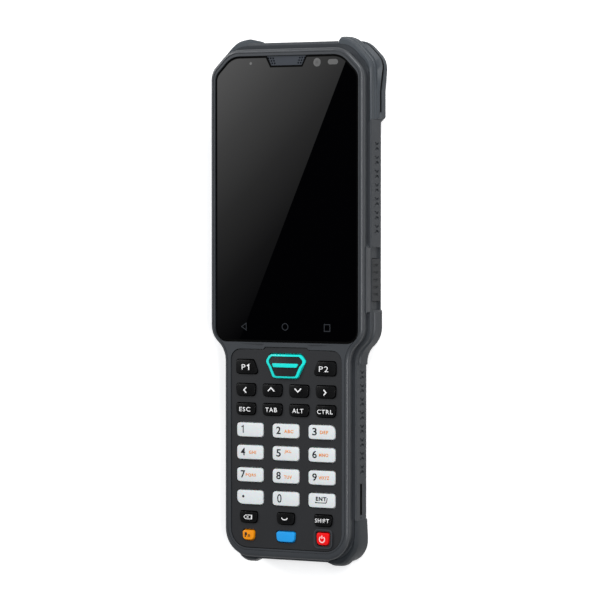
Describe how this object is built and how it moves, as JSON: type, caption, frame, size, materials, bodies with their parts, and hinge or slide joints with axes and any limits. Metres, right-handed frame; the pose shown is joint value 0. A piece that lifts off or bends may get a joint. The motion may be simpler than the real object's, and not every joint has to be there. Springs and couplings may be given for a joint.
{
  "type": "portable barcode data terminal",
  "caption": "One-hand data terminal with a wide touch screen head, a waisted keypad grip, bumpered corners, side scan keys and a battery door in the back.",
  "frame": {"origin": "under the middle of the terminal's box, on the surface that its back lies on", "axes": "+X to the terminal's right, +Y towards the head end, +Z out of the screen"},
  "size_m": [0.0826, 0.23, 0.0213],
  "materials": {
    "housing_plastic": "fine matte texture",
    "bumper_rubber": "soft matte",
    "screen_glass": "polished, black from behind",
    "dark_metal": "matt black",
    "grille_plastic": "satin",
    "panel_plastic": "fine satin texture",
    "circuit_board": "solder mask",
    "steel": "satin",
    "side_key_rubber": "soft matte",
    "cast_metal": "as cast",
    "scan_glass": "deep red",
    "battery_wrap": "satin wrap",
    "seal_rubber": "soft",
    "gold_plate": "gold plated",
    "black_key": "semi-gloss",
    "white_key": "satin",
    "scan_key": "semi-gloss teal edge and bar",
    "orange_key": "semi-gloss",
    "blue_key": "semi-gloss",
    "red_key": "semi-gloss"
  },
  "bodies": {
    "terminal": {"front_housing": "housing_plastic", "rear_housing": "housing_plastic", "upper_bumpers": "bumper_rubber", "lower_bumpers": "bumper_rubber", "touch_glass": "screen_glass", "display_module": "dark_metal", "earpiece_grille": "grille_plastic", "earpiece_speaker": "dark_metal", "front_camera": "dark_metal", "keypad_panel": "panel_plastic", "keypad_board": "circuit_board", "dome_switches": "steel", "side_switches": "steel", "midframe": "cast_metal", "main_board": "circuit_board", "shield_cans": "steel", "scan_engine": "dark_metal", "scan_window": "scan_glass", "rear_camera": "dark_metal", "camera_window": "screen_glass", "loudspeaker": "dark_metal", "usb_connector": "steel", "usb_cover_pin": "steel", "housing_gasket": "seal_rubber", "housing_screws": "steel", "charging_contacts": "gold_plate"},
    "key_p1": {"key_p1": "black_key"},
    "key_scan": {"key_scan": "scan_key"},
    "key_p2": {"key_p2": "black_key"},
    "key_left": {"key_left": "black_key"},
    "key_up": {"key_up": "black_key"},
    "key_down": {"key_down": "black_key"},
    "key_right": {"key_right": "black_key"},
    "key_esc": {"key_esc": "black_key"},
    "key_tab": {"key_tab": "black_key"},
    "key_alt": {"key_alt": "black_key"},
    "key_ctrl": {"key_ctrl": "black_key"},
    "key_1": {"key_1": "white_key"},
    "key_2": {"key_2": "white_key"},
    "key_3": {"key_3": "white_key"},
    "key_4": {"key_4": "white_key"},
    "key_5": {"key_5": "white_key"},
    "key_6": {"key_6": "white_key"},
    "key_7": {"key_7": "white_key"},
    "key_8": {"key_8": "white_key"},
    "key_9": {"key_9": "white_key"},
    "key_dot": {"key_dot": "white_key"},
    "key_0": {"key_0": "white_key"},
    "key_enter": {"key_enter": "white_key"},
    "key_backspace": {"key_backspace": "black_key"},
    "key_space": {"key_space": "black_key"},
    "key_shift": {"key_shift": "black_key"},
    "key_function": {"key_function": "orange_key"},
    "key_blue": {"key_blue": "blue_key"},
    "key_power": {"key_power": "red_key"},
    "side_key_right": {"side_key_right": "side_key_rubber"},
    "side_key_left": {"side_key_left": "side_key_rubber"},
    "battery_pack": {"battery_pack": "battery_wrap"},
    "battery_door": {"battery_door": "housing_plastic"},
    "usb_cover": {"usb_cover": "side_key_rubber"}
  },
  "joints": [
    {"name": "battery_door_hinge", "type": "hinge", "parent": "terminal", "child": "battery_door", "pos_m": [0, -0.0274, 0.0009], "axis": [1, 0, 0], "range_deg": [0, 65]},
    {"name": "battery_tilt", "type": "hinge", "parent": "terminal", "child": "battery_pack", "pos_m": [0, -0.0274, 0.0009], "axis": [1, 0, 0], "range_deg": [0, 25]},
    {"name": "usb_cover_hinge", "type": "hinge", "parent": "terminal", "child": "usb_cover", "pos_m": [-0.0065, -0.1125, 0.01], "axis": [0, 0, -1], "range_deg": [0, 90]},
    {"name": "side_key_right_press", "type": "slide", "parent": "terminal", "child": "side_key_right", "axis": [-1, 0, 0], "range_m": [0, 0.0005], "stiffness_N_per_m": 2500},
    {"name": "side_key_left_press", "type": "slide", "parent": "terminal", "child": "side_key_left", "axis": [1, 0, 0], "range_m": [0, 0.0005], "stiffness_N_per_m": 2500},
    {"name": "key_p1_press", "type": "slide", "parent": "terminal", "child": "key_p1", "axis": [0, 0, -1], "range_m": [0, 0.0006], "stiffness_N_per_m": 1500},
    {"name": "key_scan_press", "type": "slide", "parent": "terminal", "child": "key_scan", "axis": [0, 0, -1], "range_m": [0, 0.0006], "stiffness_N_per_m": 1500},
    {"name": "key_p2_press", "type": "slide", "parent": "terminal", "child": "key_p2", "axis": [0, 0, -1], "range_m": [0, 0.0006], "stiffness_N_per_m": 1500},
    {"name": "key_left_press", "type": "slide", "parent": "terminal", "child": "key_left", "axis": [0, 0, -1], "range_m": [0, 0.0006], "stiffness_N_per_m": 1500},
    {"name": "key_up_press", "type": "slide", "parent": "terminal", "child": "key_up", "axis": [0, 0, -1], "range_m": [0, 0.0006], "stiffness_N_per_m": 1500},
    {"name": "key_down_press", "type": "slide", "parent": "terminal", "child": "key_down", "axis": [0, 0, -1], "range_m": [0, 0.0006], "stiffness_N_per_m": 1500},
    {"name": "key_right_press", "type": "slide", "parent": "terminal", "child": "key_right", "axis": [0, 0, -1], "range_m": [0, 0.0006], "stiffness_N_per_m": 1500},
    {"name": "key_esc_press", "type": "slide", "parent": "terminal", "child": "key_esc", "axis": [0, 0, -1], "range_m": [0, 0.0006], "stiffness_N_per_m": 1500},
    {"name": "key_tab_press", "type": "slide", "parent": "terminal", "child": "key_tab", "axis": [0, 0, -1], "range_m": [0, 0.0006], "stiffness_N_per_m": 1500},
    {"name": "key_alt_press", "type": "slide", "parent": "terminal", "child": "key_alt", "axis": [0, 0, -1], "range_m": [0, 0.0006], "stiffness_N_per_m": 1500},
    {"name": "key_ctrl_press", "type": "slide", "parent": "terminal", "child": "key_ctrl", "axis": [0, 0, -1], "range_m": [0, 0.0006], "stiffness_N_per_m": 1500},
    {"name": "key_1_press", "type": "slide", "parent": "terminal", "child": "key_1", "axis": [0, 0, -1], "range_m": [0, 0.0006], "stiffness_N_per_m": 1500},
    {"name": "key_2_press", "type": "slide", "parent": "terminal", "child": "key_2", "axis": [0, 0, -1], "range_m": [0, 0.0006], "stiffness_N_per_m": 1500},
    {"name": "key_3_press", "type": "slide", "parent": "terminal", "child": "key_3", "axis": [0, 0, -1], "range_m": [0, 0.0006], "stiffness_N_per_m": 1500},
    {"name": "key_4_press", "type": "slide", "parent": "terminal", "child": "key_4", "axis": [0, 0, -1], "range_m": [0, 0.0006], "stiffness_N_per_m": 1500},
    {"name": "key_5_press", "type": "slide", "parent": "terminal", "child": "key_5", "axis": [0, 0, -1], "range_m": [0, 0.0006], "stiffness_N_per_m": 1500},
    {"name": "key_6_press", "type": "slide", "parent": "terminal", "child": "key_6", "axis": [0, 0, -1], "range_m": [0, 0.0006], "stiffness_N_per_m": 1500},
    {"name": "key_7_press", "type": "slide", "parent": "terminal", "child": "key_7", "axis": [0, 0, -1], "range_m": [0, 0.0006], "stiffness_N_per_m": 1500},
    {"name": "key_8_press", "type": "slide", "parent": "terminal", "child": "key_8", "axis": [0, 0, -1], "range_m": [0, 0.0006], "stiffness_N_per_m": 1500},
    {"name": "key_9_press", "type": "slide", "parent": "terminal", "child": "key_9", "axis": [0, 0, -1], "range_m": [0, 0.0006], "stiffness_N_per_m": 1500},
    {"name": "key_dot_press", "type": "slide", "parent": "terminal", "child": "key_dot", "axis": [0, 0, -1], "range_m": [0, 0.0006], "stiffness_N_per_m": 1500},
    {"name": "key_0_press", "type": "slide", "parent": "terminal", "child": "key_0", "axis": [0, 0, -1], "range_m": [0, 0.0006], "stiffness_N_per_m": 1500},
    {"name": "key_enter_press", "type": "slide", "parent": "terminal", "child": "key_enter", "axis": [0, 0, -1], "range_m": [0, 0.0006], "stiffness_N_per_m": 1500},
    {"name": "key_backspace_press", "type": "slide", "parent": "terminal", "child": "key_backspace", "axis": [0, 0, -1], "range_m": [0, 0.0006], "stiffness_N_per_m": 1500},
    {"name": "key_space_press", "type": "slide", "parent": "terminal", "child": "key_space", "axis": [0, 0, -1], "range_m": [0, 0.0006], "stiffness_N_per_m": 1500},
    {"name": "key_shift_press", "type": "slide", "parent": "terminal", "child": "key_shift", "axis": [0, 0, -1], "range_m": [0, 0.0006], "stiffness_N_per_m": 1500},
    {"name": "key_function_press", "type": "slide", "parent": "terminal", "child": "key_function", "axis": [0, 0, -1], "range_m": [0, 0.0006], "stiffness_N_per_m": 1500},
    {"name": "key_blue_press", "type": "slide", "parent": "terminal", "child": "key_blue", "axis": [0, 0, -1], "range_m": [0, 0.0006], "stiffness_N_per_m": 1500},
    {"name": "key_power_press", "type": "slide", "parent": "terminal", "child": "key_power", "axis": [0, 0, -1], "range_m": [0, 0.0006], "stiffness_N_per_m": 1500}
  ],
  "couplings": [
    {"joint": "battery_tilt", "follows": "battery_door_hinge", "ratio": 0.38461}
  ]
}
